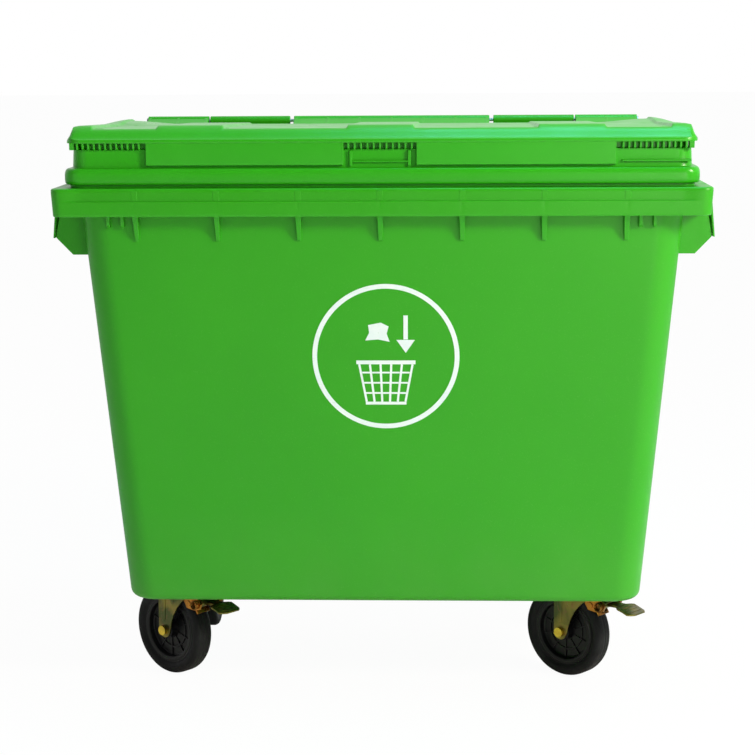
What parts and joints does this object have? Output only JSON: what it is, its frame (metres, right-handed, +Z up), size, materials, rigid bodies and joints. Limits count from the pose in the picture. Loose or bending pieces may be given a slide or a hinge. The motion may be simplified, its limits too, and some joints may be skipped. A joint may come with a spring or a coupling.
{
  "type": "four-wheeled litter bin",
  "caption": "Large moulded litter bin with a hinged flat lid, side lifting trunnions and swivel casters, the front ones braked by a foot pedal.",
  "frame": {"origin": "on the ground under the middle of the bin's overall box", "axes": "+X to the right along the bin's length, +Y towards the lid hinge at the back, +Z up"},
  "size_m": [1.37, 0.77, 1.2072],
  "materials": {
    "tub_plastic": "moulded green HDPE, satin gloss",
    "lid_plastic": "moulded green HDPE, glossy",
    "yellow_zinc_steel": "zinc plated, yellow passivated",
    "bright_zinc_steel": "bright zinc plated",
    "black_plastic": "moulded black polypropylene",
    "tyre_rubber": "solid black rubber",
    "seal_rubber": "moulded EPDM"
  },
  "bodies": {
    "root": {"drain_seal": "seal_rubber", "front_left_kingpin": "bright_zinc_steel", "front_left_mount_bolt_1": "bright_zinc_steel", "front_left_mount_bolt_2": "bright_zinc_steel", "front_left_mount_bolt_3": "bright_zinc_steel", "front_left_mount_bolt_4": "bright_zinc_steel", "front_left_plate": "yellow_zinc_steel", "front_right_kingpin": "bright_zinc_steel", "front_right_mount_bolt_1": "bright_zinc_steel", "front_right_mount_bolt_2": "bright_zinc_steel", "front_right_mount_bolt_3": "bright_zinc_steel", "front_right_mount_bolt_4": "bright_zinc_steel", "front_right_plate": "yellow_zinc_steel", "hinge_rod_left": "bright_zinc_steel", "hinge_rod_right": "bright_zinc_steel", "rear_left_kingpin": "bright_zinc_steel", "rear_left_mount_bolt_1": "bright_zinc_steel", "rear_left_mount_bolt_2": "bright_zinc_steel", "rear_left_mount_bolt_3": "bright_zinc_steel", "rear_left_mount_bolt_4": "bright_zinc_steel", "rear_left_plate": "yellow_zinc_steel", "rear_right_kingpin": "bright_zinc_steel", "rear_right_mount_bolt_1": "bright_zinc_steel", "rear_right_mount_bolt_2": "bright_zinc_steel", "rear_right_mount_bolt_3": "bright_zinc_steel", "rear_right_mount_bolt_4": "bright_zinc_steel", "rear_right_plate": "yellow_zinc_steel", "trunnion_left": "bright_zinc_steel", "trunnion_right": "bright_zinc_steel", "tub": "tub_plastic"},
    "lid": {"lid": "lid_plastic"},
    "drain_plug": {"drain_plug": "black_plastic"},
    "front_left_swivel": {"front_left_axle_bolt": "yellow_zinc_steel", "front_left_axle_nut": "yellow_zinc_steel", "front_left_fork": "yellow_zinc_steel", "front_left_pedal_pin": "bright_zinc_steel", "front_left_shoe_pin": "bright_zinc_steel"},
    "front_left_wheel": {"front_left_hub": "black_plastic", "front_left_tyre": "tyre_rubber"},
    "front_right_swivel": {"front_right_axle_bolt": "yellow_zinc_steel", "front_right_axle_nut": "yellow_zinc_steel", "front_right_fork": "yellow_zinc_steel", "front_right_pedal_pin": "bright_zinc_steel", "front_right_shoe_pin": "bright_zinc_steel"},
    "front_right_wheel": {"front_right_hub": "black_plastic", "front_right_tyre": "tyre_rubber"},
    "rear_left_swivel": {"rear_left_axle_bolt": "yellow_zinc_steel", "rear_left_axle_nut": "yellow_zinc_steel", "rear_left_fork": "yellow_zinc_steel"},
    "rear_left_wheel": {"rear_left_hub": "black_plastic", "rear_left_tyre": "tyre_rubber"},
    "rear_right_swivel": {"rear_right_axle_bolt": "yellow_zinc_steel", "rear_right_axle_nut": "yellow_zinc_steel", "rear_right_fork": "yellow_zinc_steel"},
    "rear_right_wheel": {"rear_right_hub": "black_plastic", "rear_right_tyre": "tyre_rubber"},
    "front_left_pedal": {"front_left_brake_pedal": "yellow_zinc_steel"},
    "front_left_shoe": {"front_left_brake_shoe": "yellow_zinc_steel"},
    "front_right_pedal": {"front_right_brake_pedal": "yellow_zinc_steel"},
    "front_right_shoe": {"front_right_brake_shoe": "yellow_zinc_steel"}
  },
  "joints": [
    {"name": "lid_hinge", "type": "hinge", "parent": "root", "child": "lid", "pos_m": [0, 0.374, 1.192], "axis": [-1, 0, 0], "range_deg": [0, 255]},
    {"name": "drain_plug_unscrew", "type": "slide", "parent": "root", "child": "drain_plug", "axis": [0, 0, -1], "range_m": [0, 0.03]},
    {"name": "front_left_swivel_turn", "type": "hinge", "parent": "root", "child": "front_left_swivel", "pos_m": [-0.43383, -0.1755, 0.2], "axis": [0, 0, 1], "continuous": true},
    {"name": "front_left_wheel_spin", "type": "hinge", "parent": "front_left_swivel", "child": "front_left_wheel", "pos_m": [-0.46855, -0.14688, 0.1], "axis": [0.6361, 0.7716, 0], "continuous": true},
    {"name": "front_right_swivel_turn", "type": "hinge", "parent": "root", "child": "front_right_swivel", "pos_m": [0.43383, -0.1755, 0.2], "axis": [0, 0, 1], "continuous": true},
    {"name": "front_right_wheel_spin", "type": "hinge", "parent": "front_right_swivel", "child": "front_right_wheel", "pos_m": [0.39911, -0.14688, 0.1], "axis": [0.6361, 0.7716, 0], "continuous": true},
    {"name": "rear_left_swivel_turn", "type": "hinge", "parent": "root", "child": "rear_left_swivel", "pos_m": [-0.43383, 0.181, 0.2], "axis": [0, 0, 1], "continuous": true},
    {"name": "rear_left_wheel_spin", "type": "hinge", "parent": "rear_left_swivel", "child": "rear_left_wheel", "pos_m": [-0.43383, 0.226, 0.1], "axis": [1, 0, 0], "continuous": true},
    {"name": "rear_right_swivel_turn", "type": "hinge", "parent": "root", "child": "rear_right_swivel", "pos_m": [0.43383, 0.181, 0.2], "axis": [0, 0, 1], "continuous": true},
    {"name": "rear_right_wheel_spin", "type": "hinge", "parent": "rear_right_swivel", "child": "rear_right_wheel", "pos_m": [0.43383, 0.226, 0.1], "axis": [1, 0, 0], "continuous": true},
    {"name": "front_left_brake_press", "type": "hinge", "parent": "front_left_swivel", "child": "front_left_pedal", "pos_m": [-0.38753, -0.21366, 0.176], "axis": [0.6361, 0.7716, 0], "range_deg": [0, 22]},
    {"name": "front_left_shoe_grip", "type": "hinge", "parent": "front_left_swivel", "child": "front_left_shoe", "pos_m": [-0.40296, -0.20094, 0.2035], "axis": [0.6361, 0.7716, 0], "range_deg": [0, 3.9]},
    {"name": "front_right_brake_press", "type": "hinge", "parent": "front_right_swivel", "child": "front_right_pedal", "pos_m": [0.48013, -0.21366, 0.176], "axis": [0.6361, 0.7716, 0], "range_deg": [0, 22]},
    {"name": "front_right_shoe_grip", "type": "hinge", "parent": "front_right_swivel", "child": "front_right_shoe", "pos_m": [0.46469, -0.20094, 0.2035], "axis": [0.6361, 0.7716, 0], "range_deg": [0, 3.9]}
  ],
  "couplings": [
    {"joint": "front_left_shoe_grip", "follows": "front_left_brake_press", "ratio": 0.175},
    {"joint": "front_right_shoe_grip", "follows": "front_right_brake_press", "ratio": 0.175}
  ]
}
